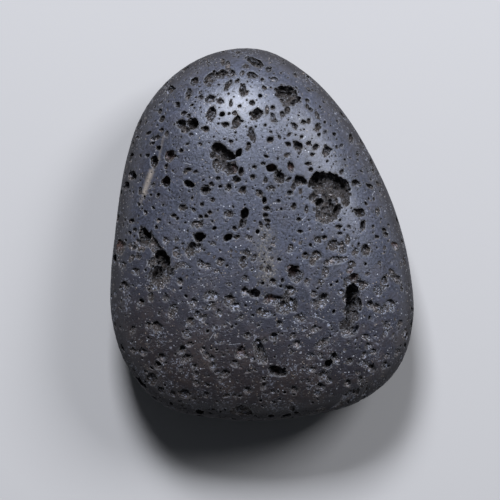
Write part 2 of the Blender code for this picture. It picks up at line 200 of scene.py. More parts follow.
PLAIN_PITS = [
    # north-west
    (-9.1, 20.3, 1.1, 0.85, 75), (-9.8, 18.6, 1.4, 0.7, 75), (-8.2, 18.1, 0.6, 0.5),
    (-12.4, 19.2, 1.1, 0.9), (-13.65, 16.35, 0.6, 0.4, 90), (-10.5, 16.0, 0.6, 0.5),
    (-13.35, 15.25, 0.9, 0.5, 60), (-13.4, 13.8, 0.45, 0.45), (-7.0, 17.9, 1.3, 0.8, 15),
    (-9.8, 15.65, 0.45, 0.4), (-7.55, 13.85, 0.8, 0.7), (-12.7, 13.2, 0.8, 0.4, 90),
    (-14.6, 12.6, 0.6, 0.4), (-14.0, 12.8, 0.7, 0.5), (-14.7, 12.0, 0.6, 0.4), (-15.2, 13.4, 0.6, 0.35),
    (-7.1, 19.8), (-6.9, 20.8, 1.9, 1.0, 50), (-7.2, 22.8, 0.8, 0.4, 90), (-6.8, 15.9, 1.8, 1.0, 80),
    (-9.5, 13.1, 0.5, 0.3), (-8.3, 11.85, 0.5, 0.3), (-12.3, 10.3, 1.4, 1.1, 60),
    (-12.8, 8.9, 0.6, 0.4, 70), (-15.3, 10.4), (-10.8, 10.95), (-16.3, 5.7, 0.9, 0.35, 80),
    (-9.85, 8.5, 0.9, 0.4), (-10.25, 8.15, 0.45, 0.4), (-8.9, 8.2, 0.5, 0.3, 20), (-6.8, 6.55, 0.5, 0.5),
    (-7.65, 5.7, 1.0, 0.95), (-6.6, 4.45), (-8.0, 3.85), (-7.0, 2.8), (-11.75, 2.4, 0.6, 0.4),
    (-15.55, 2.8, 0.6, 0.35, -60), (-17.4, 1.7, 0.7, 0.5), (-8.2, 2.25), (-7.45, 2.3), (-17.0, 0.55),
    (-13.8, 1.8, 0.5, 0.35, 70),
    # north
    (-3.3, 24.25), (-5.3, 22.9, 0.8, 0.45, 90), (-4.65, 22.5, 1.1, 0.5, 90), (-5.5, 21.3, 1.1, 0.9, 60),
    (-4.35, 21.35, 1.3, 0.8), (-2.7, 21.35, 0.6, 0.4, 60), (-1.4, 21.1, 1.2, 0.7, -30),
    (-4.6, 19.7, 1.6, 0.5, 60), (-3.35, 20.3, 0.6, 0.35, 50), (-2.65, 19.0, 1.7, 0.75, 90),
    (0.25, 19.4, 0.55, 0.4, -30), (1.6, 20.55, 0.8, 0.5), (0.8, 21.9, 0.7, 0.6), (4.4, 21.15),
    (-1.4, 17.35, 0.7, 0.6), (-3.05, 16.9, 0.45, 0.4), (-4.2, 17.3, 0.8, 0.4, 90), (-5.6, 17.55, 0.9, 0.6),
    (-0.8, 15.85, 1.4, 1.2, 60), (-3.4, 14.8, 1.7, 0.95, 70), (1.45, 15.3, 1.4, 0.5, -70), (1.35, 16.75),
    (3.3, 16.4, 0.9, 0.7, 90), (2.6, 15.85, 0.7, 0.5, 90), (6.0, 17.7), (5.95, 16.9, 0.5, 0.35, 90),
    (6.4, 16.5), (6.15, 19.2), (-4.85, 14.45, 0.9, 0.6), (4.25, 14.3, 0.9, 0.6, -50),
    (5.45, 14.8, 0.6, 0.55), (6.15, 14.95, 0.6, 0.4, 90), (-1.4, 13.0, 1.9, 0.7, -75),
    (1.0, 12.4, 0.8, 0.7), (5.2, 12.85, 0.4, 0.35), (3.5, 13.1, 0.5, 0.3, 50), (3.4, 11.85, 0.6, 0.55),
    (4.75, 11.6, 1.1, 1.05), (6.1, 11.95, 0.6, 0.55), (7.0, 11.5, 0.9, 0.6, 45),
    (-1.85, 11.6, 1.0, 0.5, 85), (-4.2, 12.2), (7.3, 15.7, 0.9, 0.4, -70), (7.3, 14.1, 1.1, 0.6, 80),
    (-2.2, 18.7, 0.6, 0.5),
    # north-east and east
    (8.5, 10.95, 1.2, 0.9, 60), (6.05, 9.25, 0.8, 0.4), (10.5, 11.65, 0.5, 0.35, 60),
    (12.7, 10.65, 0.6, 0.35, 70), (6.55, 10.5, 0.45, 0.4), (6.4, 8.5, 0.5, 0.5), (10.5, 8.2, 0.7, 0.4, 60),
    (12.45, 6.75, 1.1, 0.7), (14.3, 6.35, 0.9, 0.5), (12.9, 2.85, 1.3, 1.0), (10.05, 0.9, 0.7, 0.5),
    (10.25, 0.0, 0.6, 0.35), (11.25, -0.6, 0.9, 0.3, -75), (7.3, -0.6, 0.6, 0.4), (8.15, -0.5, 0.6, 0.5),
    (16.2, 0.55), (16.4, -0.1, 0.7, 0.6), (15.2, -0.4), (14.8, 8.5, 0.7, 0.35, 75),
    (15.4, 6.7, 0.6, 0.35, -70),
    # centre
    (-5.9, 7.3, 0.5, 0.45), (-4.45, 6.1, 0.9, 0.6, 75), (-2.6, 5.8, 1.0, 0.7, 70), (-1.3, 7.5, 0.6, 0.55),
    (-1.1, 8.8, 0.5, 0.35), (0.1, 9.25, 0.55, 0.35), (0.4, 7.1, 0.7, 0.45, 90), (2.2, 7.5, 1.6, 1.2, -60),
    (3.75, 8.8, 1.3, 0.7, -80), (3.5, 7.2, 0.8, 0.35, 40), (5.0, 7.1, 1.5, 1.1, -20),
    (5.0, 5.6, 0.6, 0.3, 90), (4.1, 6.2, 0.8, 0.4, 90), (3.6, 5.4, 0.6, 0.5), (4.15, 3.65, 0.8, 0.5, 90),
    (5.8, 3.2, 0.8, 0.4, 90), (0.55, 3.3, 0.8, 0.5), (0.4, 2.4, 0.6, 0.55), (0.65, 1.75, 0.8, 0.4, -20),
    (-0.25, 1.2, 0.8, 0.4, -70), (0.7, 0.95, 0.7, 0.5, 90), (4.75, 1.9), (-3.7, 0.7, 0.6, 0.4, -60),
    (5.0, 0.3, 0.6, 0.35), (-3.4, -0.4, 0.7, 0.35, 20), (2.1, 4.3, 0.45, 0.4),
    # west and south-west
    (-11.45, -2.15, 0.8, 0.5, 70), (-12.8, -0.75, 0.45, 0.45), (-8.15, -3.8, 0.6, 0.5),
    (-7.3, -4.1, 0.7, 0.35), (-17.4, -3.1, 0.7, 0.35, 40), (-18.6, -4.05, 0.6, 0.4, 30),
    (-16.9, -4.8, 0.7, 0.45), (-18.4, -6.7, 0.8, 0.7), (-19.0, -1.4, 1.2, 0.9, 80),
    (-14.8, -8.2, 0.7, 0.4, 90), (-12.8, -8.3, 0.5, 0.5), (-9.15, -8.9, 0.7, 0.5, 90),
    (-8.65, -10.5, 0.5, 0.5), (-9.5, -11.4, 0.7, 0.5, -40), (-7.9, -11.1, 0.8, 0.35, 25),
    (-14.1, -12.0, 0.9, 0.7), (-17.3, -12.6, 0.7, 0.4, 60), (-15.2, -12.0, 0.5, 0.35, 90), (-7.85, -15.2),
    (-7.5, -15.9, 0.6, 0.4, -50), (-15.9, -15.5, 0.6, 0.5), (-17.2, -15.4), (-13.4, -16.2, 0.6, 0.55),
    (-10.1, -16.3, 1.0, 0.5, 30), (-14.8, -19.0, 0.9, 0.85), (-13.5, -20.65, 0.6, 0.4),
    (-8.8, -18.65, 0.8, 0.35, -80), (-8.8, -19.7, 0.45, 0.4), (-10.3, -21.0, 1.0, 0.6),
    (-11.9, -21.1, 0.45, 0.4), (-6.7, -16.4), (-7.5, -21.2, 0.45, 0.4), (-9.65, -14.5, 0.6, 0.3),
    # south
    (-5.55, -3.5, 0.6, 0.5), (-2.1, -2.4, 0.6, 0.5), (-1.1, -3.0, 0.6, 0.35, 25), (0.75, -4.5, 0.45, 0.45),
    (3.7, -1.75, 0.7, 0.4, 80), (7.1, -2.6, 0.8, 0.6), (6.6, -3.5, 0.5, 0.5), (-2.25, -5.7, 0.5, 0.35),
    (-1.0, -7.9, 1.3, 1.1), (-4.4, -8.5, 0.9, 0.7, 40), (-3.6, -9.4, 0.8, 0.5), (-0.35, -10.0),
    (0.45, -10.4, 1.0, 0.4), (-2.85, -10.9, 0.5, 0.3, 25), (-5.8, -10.3, 0.6, 0.4, 90),
    (6.85, -12.4, 0.7, 0.4, 50), (5.85, -6.2, 0.5, 0.35, 90), (6.75, -8.9, 0.5, 0.4, 35), (6.8, -7.8),
    (-0.6, -14.2, 0.6, 0.5), (4.0, -13.35, 0.5, 0.35, 60), (4.6, -14.4, 0.6, 0.5), (-2.0, -13.25),
    (-2.9, -15.35, 0.9, 0.8), (-6.6, -17.3, 0.5, 0.45), (-3.7, -17.0, 0.7, 0.4), (-5.0, -18.35, 0.9, 0.5),
    (1.9, -18.2, 2.2, 1.1, -20), (0.15, -20.1, 0.5, 0.35, 90), (4.2, -20.45, 0.6, 0.4), (7.25, -21.0),
    (-2.0, -20.6, 0.6, 0.4), (-2.7, -23.3, 2.0, 0.7, 15), (4.0, -23.1, 0.4, 0.35), (6.4, -16.0, 0.7, 0.4),
    (6.6, -17.85, 0.6, 0.3),
    # south-east
    (9.4, -1.2, 0.9, 0.7), (10.5, -1.6, 0.8, 0.6, 90), (9.9, -3.3, 1.9, 0.4), (8.5, -3.7, 0.5, 0.35),
    (8.3, -4.9, 1.0, 0.4, 90), (12.3, -2.2, 0.6, 0.35, 50), (11.8, -3.8, 0.6, 0.4), (11.55, -4.6),
    (17.7, -1.4, 0.7, 0.5), (18.75, -1.1, 0.5, 0.35), (18.95, -3.3, 0.8, 0.35, 90), (15.2, -9.6, 0.6, 0.55),
    (16.9, -9.2, 0.9, 0.85), (15.9, -10.0, 0.7, 0.4), (17.9, -5.8, 1.0, 0.5), (10.4, -7.6, 0.5, 0.35),
    (18.4, -11.7), (16.5, -11.9, 0.6, 0.5), (14.0, -14.7), (14.75, -15.5), (13.65, -13.5, 0.8, 0.35),
    (8.1, -18.5, 0.7, 0.65), (8.8, -19.3), (11.3, -19.6, 0.5, 0.5), (13.0, -19.3, 0.7, 0.35, -70),
    (11.7, -21.3, 1.7, 0.8, 15), (13.8, -20.9, 1.3, 0.35, 70), (13.4, -22.0, 0.9, 0.6),
    (16.3, -17.3, 0.5, 0.5), (18.0, -15.6, 0.6, 0.4), (7.9, -14.3, 1.4, 0.5, 30),
    (13.5, -15.9, 0.5, 0.35, 40), (10.4, -22.6, 0.9, 0.3, 30), (16.4, -13.0, 0.6, 0.4), (19.0, -12.9),
    (11.5, -16.7), (7.8, -23.3, 0.9, 0.3, 15), (16.6, -16.1, 0.4, 0.35),
]
SHALLOW_PITS = [
    (-14.6, 6.45, 0.7, 0.35, 55), (-10.65, 3.45, 0.9, 0.8), (-8.6, 1.3, 1.4, 0.7), (-2.2, 22.3, 0.8, 0.4),
    (-3.7, 16.0, 0.6, 0.5), (0.6, 16.3, 1.1, 0.4, 90), (1.1, 6.0, 1.0, 0.5), (-0.4, 5.3, 0.8, 0.7),
    (-4.5, 2.6, 1.1, 0.7), (-10.65, -4.0, 1.1, 0.3), (0.15, -0.45, 0.9, 0.3, 55),
    (13.7, -17.2, 1.2, 0.35, -40), (3.3, 10.4, 0.7, 0.4, 20), (-6.9, -7.9, 1.2, 0.6, 10),
    (-11.9, -9.9, 1.1, 0.6, 60), (5.0, -10.9, 1.0, 0.5), (15.3, 3.0, 0.9, 0.5, 80),
]
DEEP, PLAIN, SHALLOW = 1.6, 0.85, 0.45  # depths as shares of the width
LESS_WORN_BELOW = -0.5  # mm: towards -Y from here the pits are shallower and lie in chipped scallops
LESS_WORN_DEPTH = 0.62  # as a share of the depth they would have elsewhere
SCALLOP_SIZE = 1.45  # as a share of its pit's length and width
SCALLOP_SHIFT = 0.4  # of its pit's width, towards -Y
SCALLOP_DEPTH = 0.26  # as a share of its width
SCALLOP_TURN = 0.5  # radians, the most that a scallop is turned from its pit
WIDEST_SCALLOPED = 1.1
LIP = 0.17  # mm: the lists give the dark throats, and each mouth is this much longer and wider
MOST_SLANT = 1.6  # the most that a mouth is lengthened because its skin slants away when seen from above

SINK = 0.4  # how far a bubble's middle lies below the skin, as a share of its half depth
DENTS = 0.19  # how far a bubble's wall strays from a smooth one, as a share of its size
CHIP_DENTS = 0.32  # the same for a shallow chip
CHIP_FLATNESS = 0.6  # chips are less deep than this share of their width
DENTS_ACROSS = 1.6  # how many such dents a bubble's half width holds
FINER_DENTS = 2.7  # how many times finer the dents within them are
WALLS_BY_WIDTH = {1.7: 4, 1.05: 3}  # how finely bubbles wider than this, in mm, are divided
SIDES_BY_WIDTH = {0.62: (12, 6), 0.36: (8, 5), 0.0: (6, 4)}  # the others: sides and rings

# Little bubbles that broke into the larger ones: through their walls, and round their rims.
POCK_WIDTHS = (0.3, 0.85)
WIDEST_POCK = 0.6  # of its bubble's width
POCK_THINNESS = 2.6  # its width over this is half its thickness
CRATER_WIDTH = 1.2
CRATER_POCK_WIDTHS = (0.45, 1.15)
POCK_RISES = (-1.0, 0.1)
POCKS_PER_SQUARE_MM = 2.2
MOST_POCKS = 18
RIM_POCK_SHARES = (0.22, 0.6)  # widths, as shares of the bubble's width
RIM_POCK_RISES = (0.05, 0.4)
RIM_POCKS_PER_MM = 2.2  # of the bubble's length
MOST_RIM_POCKS = 5
POCKED_WIDTH = 0.45  # mm, the narrowest bubble that has them

# Pits that the lists leave out: fine ones on the domed face, and all sizes on the sides and the belly.
SCATTER_SEED = 7
FINE_TRIES = 4300
FINE_WIDTHS = (0.18, 0.5)
SIDE_TRIES = 4200
SIDE_WIDTHS = (0.24, 1.3)
SMALL_BIAS = 2.4  # above 1, most of them are near the smallest
SCATTER_DEPTHS = (0.7, 1.6)  # as shares of the width
CHIPS_FROM = 0.45  # of the fine pits in the less worn part, the share that are not chips
CHIP_GROWTH = (1.2, 2.7)  # how much wider than a fine pit a fine chip is
STRETCH = 1.7  # the most that one is longer than wide
WEB = 0.07  # mm of stone left between two of them at least
DOME_EDGE = 0.35  # the height of a unit direction above which the lists hold the larger pits
FOOT_MARGIN = 0.05  # mm above the foot in which none is scattered

# The larger pits of the sides and the belly, spread evenly and then jostled by chance.
FLANK_PITS = 30
FLANK_PIT_WIDTHS = (1.0, 2.1)
FLANK_PIT_STRETCH = 1.6
FLANK_PIT_DEPTH = 0.8
FLANK_RISES = (-0.85, 0.1)  # how low and how high they lie, as the height of a unit direction
FLANK_JOSTLE = 0.25
FLANK_SEED = 11
GOLDEN_TURN = math.pi * (3 - math.sqrt(5))


def bubble_place(direction, length, width, turn, depth, from_above=False):
    """The matrix that turns a unit ball into a bubble whose mouth on the skin has this length and width."""
    outward = skin_normal(direction)
    east = Vector((1, 0, 0))
    east = (east - outward * east.dot(outward)).normalized()
    along = Matrix.Rotation(turn, 3, outward) @ east
    across = outward.cross(along)
    if from_above:
        length /= max(along.xy.length, 1 / MOST_SLANT)
        width /= max(across.xy.length, 1 / MOST_SLANT)
    half_depth = depth / (1 + SINK)
    mouth_share = math.sqrt(1 - SINK**2)
    sizes = (length / 2 / mouth_share, width / 2 / mouth_share, half_depth, 1)
    axes = Matrix((along, across, outward)).transposed().to_4x4()
    return Matrix.Translation(skin(direction) - outward * SINK * half_depth) @ axes @ Matrix.Diagonal(sizes)


def pocks(place, count, rises, widths, chance):
    """Little bubbles along the wall of the bubble that this matrix places, as (matrix, width) pairs."""
    found = []
    for _ in range(count):
        angle = chance.uniform(0, math.tau)
        rise = chance.uniform(*rises)
        flat = math.sqrt(1 - rise**2)
        width = chance.uniform(*widths)
        where = place @ Vector((flat * math.cos(angle), flat * math.sin(angle), rise))
        turned = Matrix.Rotation(chance.uniform(0, math.tau), 4, where.normalized())
        sizes = Matrix.Diagonal((width / 2, width / POCK_THINNESS, width / 2, 1))
        found.append((Matrix.Translation(where) @ turned @ sizes, width))
    return found


def opened_bubble(place, length, width, chance):
    """A bubble, and the little ones that broke into it if it is large enough."""
    found = [(place, width)]
    if width > POCKED_WIDTH:
        count = min(MOST_POCKS, round(POCKS_PER_SQUARE_MM * length * width))
        sizes = POCK_WIDTHS if width < CRATER_WIDTH else CRATER_POCK_WIDTHS
        found += pocks(place, count, POCK_RISES, [min(size, width * WIDEST_POCK) for size in sizes], chance)
        if width > CRATER_WIDTH:
            found += pocks(place, count, POCK_RISES, POCK_WIDTHS, chance)
        count = min(MOST_RIM_POCKS, round(RIM_POCKS_PER_MM * length))
        sizes = [share * min(width, CRATER_WIDTH) for share in RIM_POCK_SHARES]
        found += pocks(place, count, RIM_POCK_RISES, sizes, chance)
    return found


def listed_bubbles(mouths):
    """The bubbles of the craters and of the listed pits. Adds their mouths, as (point, half length)."""
    chance = random.Random(SCATTER_SEED)
    rows = [row for crater in CRATERS for row in crater]
    for pits, share in ((DEEP_PITS, DEEP), (PLAIN_PITS, PLAIN), (SHALLOW_PITS, SHALLOW)):
        for x, y, *given in pits:
            length, width, turn = (*given, *SMALL_PIT[len(given):])
            rows.append((x, y, length, width, turn, (width + LIP) * share))
    found = []
    for x, y, length, width, turn, depth in rows:
        length += LIP
        width += LIP
        turn = math.radians(turn)
        if y < LESS_WORN_BELOW and width < WIDEST_SCALLOPED:
            depth *= LESS_WORN_DEPTH
            chip_length = length * SCALLOP_SIZE
            chip_width = width * SCALLOP_SIZE
            chip_turn = turn + chance.uniform(-SCALLOP_TURN, SCALLOP_TURN)
            chip = direction_above(x, y - SCALLOP_SHIFT * width)
            chip = bubble_place(chip, chip_length, chip_width, chip_turn, chip_width * SCALLOP_DEPTH, True)
            found.append((chip, chip_width))
        direction = direction_above(x, y)
        place = bubble_place(direction, length, width, turn, depth, from_above=True)
        found += opened_bubble(place, length, width, chance)
        mouths.append((skin(direction), length / 2))
    return found


def flank_bubbles(mouths):
    """The larger bubbles of the sides and the belly. Adds their mouths."""
    chance = random.Random(FLANK_SEED)
    pock_chance = random.Random(FLANK_SEED)
    found = []
    for index in range(FLANK_PITS):
        share = (index + 0.5) / FLANK_PITS
        rise = FLANK_RISES[0] + share * (FLANK_RISES[1] - FLANK_RISES[0])
        angle = index * GOLDEN_TURN + chance.uniform(-FLANK_JOSTLE, FLANK_JOSTLE)
        flat = math.sqrt(1 - rise**2)
        direction = Vector((flat * math.cos(angle), flat * math.sin(angle), rise))
        width = chance.uniform(*FLANK_PIT_WIDTHS)
        length = width * chance.uniform(1.0, FLANK_PIT_STRETCH)
        place = bubble_place(direction, length, width, chance.uniform(0, math.tau), width * FLANK_PIT_DEPTH)
        found += opened_bubble(place, length, width, pock_chance)
        mouths.append((skin(direction), length / 2))
    return found


def scattered_bubbles(worn, mouths):
    """Pits strewn by chance over the skin wherever there is room between the mouths so far."""
    chance = random.Random(SCATTER_SEED)
    faces = list(worn.faces)
    picked = chance.choices(faces, [face.calc_area() for face in faces], k=FINE_TRIES + SIDE_TRIES)
    points = np.array([point for point, half in mouths])
    halves = np.array([half for point, half in mouths])
    found = []
    for number, face in enumerate(picked):
        fine = number >= SIDE_TRIES
        a, b, c = (corner.co for corner in face.verts)
        u, v = sorted((chance.random(), chance.random()))
        point = a * u + b * (v - u) + c * (1 - v)
        smallest, largest = FINE_WIDTHS if fine else SIDE_WIDTHS
        width = smallest + (largest - smallest) * chance.random() ** SMALL_BIAS
        length = width * chance.uniform(1.0, STRETCH)
        turn = chance.uniform(0, math.tau)
        depth = width * chance.uniform(*SCATTER_DEPTHS)
        luck = chance.random()
        direction = direction_of(point)
        if fine and point.y < LESS_WORN_BELOW and luck > CHIPS_FROM:
            share = (luck - CHIPS_FROM) / (1 - CHIPS_FROM)
            growth = CHIP_GROWTH[0] + share**2 * (CHIP_GROWTH[1] - CHIP_GROWTH[0])
            width *= growth
            length *= growth
            depth = width * SCALLOP_DEPTH
        if fine != (direction.z > DOME_EDGE) or point.z < FOOT_CUT - BELLY_DEPTH + FOOT_MARGIN:
            continue
        if (np.linalg.norm(points - np.array(point), axis=1) < halves + length / 2 + WEB).any():
            continue
        points = np.vstack((points, point))
        halves = np.append(halves, length / 2)
        found += opened_bubble(bubble_place(direction, length, width, turn, depth), length, width, chance)
    return found


def apart(bubbles):
    """Sorts the bubbles into batches in which none meets another, so that each batch can cut cleanly."""
    batches = []
    for place, width in bubbles:
        middle = np.array(place.translation)
        reach = max(column.length for column in place.to_3x3().col) * (1 + DENTS)
        for batch in batches:
            away = np.linalg.norm(np.array(batch["middles"]) - middle, axis=1)
            if (away > np.array(batch["reaches"]) + reach).all():
                break
        else:
            batch = {"middles": [], "reaches": [], "bubbles": []}
            batches.append(batch)
        batch["middles"].append(middle)
        batch["reaches"].append(reach)
        batch["bubbles"].append((place, width))
    return [batch["bubbles"] for batch in batches]


def ball(widest):
    """Corners and faces of the closed unit ball for the bubbles that are wider than this."""
    mesh = bmesh.new()
    if widest in WALLS_BY_WIDTH:
        bmesh.ops.create_icosphere(mesh, subdivisions=WALLS_BY_WIDTH[widest], radius=1)
    else:
        sides, rings = SIDES_BY_WIDTH[widest]
        bmesh.ops.create_uvsphere(mesh, u_segments=sides, v_segments=rings, radius=1)
    corners = [corner.co.copy() for corner in mesh.verts]
    faces = [[corner.index for corner in face.verts] for face in mesh.faces]
    mesh.free()
    return corners, faces


def link(name, data):
    thing = bpy.data.objects.new(name, data)
    bpy.context.scene.collection.objects.link(thing)
    return thing


def cutter_of(bubbles, balls):
    """One object of closed dented balls, one for each bubble."""
    points = []
    faces = []
    for place, width in bubbles:
        corners, sides = balls[next(widest for widest in balls if width > widest)]
        first = len(points)
        flat = place.col[2].length < CHIP_FLATNESS * place.col[1].length
        for corner in corners:
            spot = corner * DENTS_ACROSS + place.translation
            dent = noise.noise(spot) + noise.noise(spot * FINER_DENTS)
            points.append(place @ (corner * (1 + (CHIP_DENTS if flat else DENTS) * dent)))
        faces += [[first + index for index in side] for side in sides]
    data = bpy.data.meshes.new("gas bubbles")
    data.from_pydata(points, [], faces)
    return link("gas bubbles", data)


def cut_open(stone, bubbles, balls):
    """Takes the bubbles out of the stone. Their walls get its second material."""
    cutter = cutter_of(bubbles, balls)
    for slot in stone.data.materials:
        cutter.data.materials.append(slot)
    cutter.data.polygons.foreach_set("material_index", [1] * len(cutter.data.polygons))
    cut = stone.modifiers.new("open bubbles", "BOOLEAN")
    cut.object = cutter
    cut.operation = "DIFFERENCE"
    cut.solver = "MANIFOLD"
    apply_modifiers(stone)
    bpy.data.objects.remove(cutter)


def apply_modifiers(stone):
    before = stone.data
    evaluated = stone.evaluated_get(bpy.context.evaluated_depsgraph_get())
    after = bpy.data.meshes.new_from_object(evaluated)
    stone.modifiers.clear()
    stone.data = after
    bpy.data.meshes.remove(before)


# ---- The finished stone ----
# One solid from the worn skin and everything that the bubbles took out of it. The skin keeps the
# true curve's normals, so that its polish runs smoothly up to the sharp rims of the pits.

MM = 0.001
MOST_TRIANGLES = 195000
RUSTY_SPOTS = [  # the x, y and reach, in mm, of the places where iron stains the pits
    (-12.3, 10.6, 0.9), (-12.8, 7.3, 0.8), (1.0, 8.8, 0.9), (3.75, 9.1, 0.8), (-2.9, -15.3, 0.9),
    (-4.9, -13.9, 0.6), (-2.8, -18.3, 0.8), (4.0, -4.6, 0.9), (17.7, -1.0, 0.9), (-19.2, -1.3, 1.0),
    (17.7, 0.55, 0.6), (-3.4, 8.8, 0.8), (12.0, -5.4, 0.9), (1.0, -8.2, 0.9), (1.8, -17.9, 0.7),
]
RIM_ANGLE = math.radians(50)  # edges sharper than this are drawn sharp: the rims of the pits
FOOT_FLAT = 0.02  # mm: skin nearer than this to the floor is drawn flat
MAP_MIDDLES = (0.25, 0.75)  # how far across the bake map the middles of its two halves lie
MAP_MARGIN = 0.01  # of the bake map's side, left free round each half


def thin(stone):
    """Merges the least triangles until only MOST_TRIANGLES are left."""
    mesh = bmesh.new()
    mesh.from_mesh(stone.data)
    bmesh.ops.triangulate(mesh, faces=mesh.faces[:])
    mesh.to_mesh(stone.data)
    mesh.free()
    thinner = stone.modifiers.new("thinner", "DECIMATE")
    thinner.use_collapse_triangulate = True
    thinner.ratio = min(1.0, MOST_TRIANGLES / len(stone.data.polygons))
    apply_modifiers(stone)


def drop_folds(mesh):
    """Takes away pairs of triangles that thinning has folded flat against each other."""
    on_corners = {}
    for face in mesh.faces:
        on_corners.setdefault(frozenset(face.verts), []).append(face)
    folded = [face for faces in on_corners.values() if len(faces) > 1 for face in faces]
    bmesh.ops.delete(mesh, geom=folded, context="FACES")


def drop_crumbs(mesh):
    """Drops what is left loose where bubbles surround it: all that doesn't join up with the top."""
    kept = set()
    front = {max(mesh.verts, key=lambda corner: corner.co.z)}
    while front:
        kept |= front
        front = {edge.other_vert(corner) for corner in front for edge in corner.link_edges} - kept
    bmesh.ops.delete(mesh, geom=[corner for corner in mesh.verts if corner not in kept], context="VERTS")
    mesh.verts.index_update()


def mark_walls(mesh, directions):
    """Notes at each corner how far below the skin it lies, and how rusty it is."""
    depth_layer = mesh.verts.layers.float.new("depth")
    rust_layer = mesh.verts.layers.float.new("rust")
    for corner in mesh.verts:
        on_skin = any(face.material_index == 0 for face in corner.link_faces)
        corner[depth_layer] = 0.0 if on_skin else (skin(directions[corner.index]) - corner.co).length
        for x, y, reach in RUSTY_SPOTS:
            away = math.hypot(corner.co.x - x, corner.co.y - y)
            if away < reach and corner.co.z > 0:
                corner[rust_layer] = max(corner[rust_layer], 1 - (away / reach) ** 2)


def lay_out_map(mesh, directions):
    """Lays the upper and the lower half of the stone out as two ovals, side by side in the bake map."""
    map_layer = mesh.loops.layers.uv.new("OFBake")
    half_width = MAP_MIDDLES[0] - MAP_MARGIN
    for face in mesh.faces:
        side = 1 if sum(directions[corner.index].z for corner in face.verts) > 0 else -1
        middle = MAP_MIDDLES[0] if side > 0 else MAP_MIDDLES[1]
        for loop in face.loops:
            direction = directions[loop.vert.index]
            flat = math.hypot(direction.x, direction.y) or 1.0
            out = math.sqrt(max(0.0, 1 - side * direction.z)) * half_width
            loop[map_layer].uv = (middle + direction.x / flat * out, 0.5 + direction.y / flat * out * 2)


def shade(data, directions, foot_height):
    """Smooths the walls between their sharp edges, and gives the skin the true curve's normals."""
    data.shade_smooth()
    data.set_sharp_from_angle(angle=RIM_ANGLE)
    normals = []
    for face in data.polygons:
        for index in face.vertices:
            if face.material_index == 1:
                normals.append((0, 0, 0))
            elif data.vertices[index].co.z < foot_height:
                normals.append((0, 0, -1))
            else:
                normals.append(tuple(skin_normal(directions[index])))
    data.normals_split_custom_set(normals)


worn = worn_skin()
mouths = []
bubbles = listed_bubbles(mouths) + flank_bubbles(mouths)
bubbles += scattered_bubbles(worn, mouths)
worn_low = Vector(min(corner.co[axis] for corner in worn.verts) for axis in range(3))
worn_high = Vector(max(corner.co[axis] for corner in worn.verts) for axis in range(3))

stone = link("worn_pebble", bpy.data.meshes.new("worn_pebble"))
worn.to_mesh(stone.data)
worn.free()
skin_finish = bpy.data.materials.new("polished lava skin")
wall_finish = bpy.data.materials.new("open bubble wall")
stone.data.materials.append(skin_finish)
stone.data.materials.append(wall_finish)
balls = {widest: ball(widest) for widest in (*WALLS_BY_WIDTH, *SIDES_BY_WIDTH)}
for batch in apart(bubbles):
    cut_open(stone, batch, balls)
thin(stone)

mesh = bmesh.new()
mesh.from_mesh(stone.data)
drop_folds(mesh)
drop_crumbs(mesh)
directions = [direction_of(corner.co) for corner in mesh.verts]
mark_walls(mesh, directions)
lay_out_map(mesh, directions)
mesh.to_mesh(stone.data)
mesh.free()

stone_low, stone_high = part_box("lava_stone")
stretch = [(stone_high[axis] - stone_low[axis]) / (worn_high[axis] - worn_low[axis]) for axis in range(3)]
stone.data.transform(
    Matrix.Translation(stone_low) @ Matrix.Diagonal((*stretch, 1)) @ Matrix.Translation(-worn_low)
)
shade(stone.data, directions, stone_low.z + FOOT_FLAT * MM)


# ---- Its finishes ----
# The skin is dense dark lava with a satin polish; the bubbles' walls are as they froze: rough, matt
# and peppered with pale feldspar grains. Both hold the same grains and brown dust; the skin also holds fine
# pores, and the walls iron stain.


def fill(tree, inputs, values):
    """Fills these sockets with numbers or links."""
    for name, value in values.items():
        if isinstance(value, bpy.types.NodeSocket):
            tree.links.new(value, inputs[name])
        else:
            inputs[name].default_value = value


def node(tree, kind, values=None, **settings):
    """Adds a shader node, sets it and fills its sockets."""
    made = tree.nodes.new(kind)
    for name, value in settings.items():
        setattr(made, name, value)
    fill(tree, made.inputs, values or {})
    return made


def blend(tree, share, first, second):
    return node(tree, "ShaderNodeMix", {0: share, 6: first, 7: second}, data_type="RGBA").outputs[2]


def sums(tree, operation, first, second, third=0.0):
    return node(tree, "ShaderNodeMath", {0: first, 1: second, 2: third}, operation=operation).outputs[0]


def times(tree, first, second):
    return sums(tree, "MULTIPLY", first, second)


def plus(tree, value, more, share=1.0):
    """Adds a share of one value to another."""
    return sums(tree, "MULTIPLY_ADD", more, share, value)


def vectors(tree, operation, first, second, third=(0, 0, 0)):
    return node(tree, "ShaderNodeVectorMath", {0: first, 1: second, 2: third}, operation=operation).outputs


def scaled(tree, vector, scale):
    return node(tree, "ShaderNodeVectorMath", {0: vector, "Scale": scale}, operation="SCALE").outputs[0]


def parts_of(tree, vector):
    return node(tree, "ShaderNodeSeparateXYZ", {0: vector}).outputs


def ramp(tree, value, start, end, low=0.0, high=1.0):
    """Runs smoothly from low to high as value goes from start to end."""
    values = {"Value": value, "From Min": start, "From Max": end, "To Min": low, "To Max": high}
    return node(tree, "ShaderNodeMapRange", values, interpolation_type="SMOOTHSTEP").outputs["Result"]


def noise_of(tree, place, scale, detail, rough, output="Fac"):
    values = {"Vector": place, "Scale": scale, "Detail": detail, "Roughness": rough}
    return node(tree, "ShaderNodeTexNoise", values).outputs[output]


def patches(tree, place, scale, detail, rough, *edges):
    """Patches where such a noise runs from the first of these edges to the second."""
    return ramp(tree, noise_of(tree, place, scale, detail, rough), *edges)


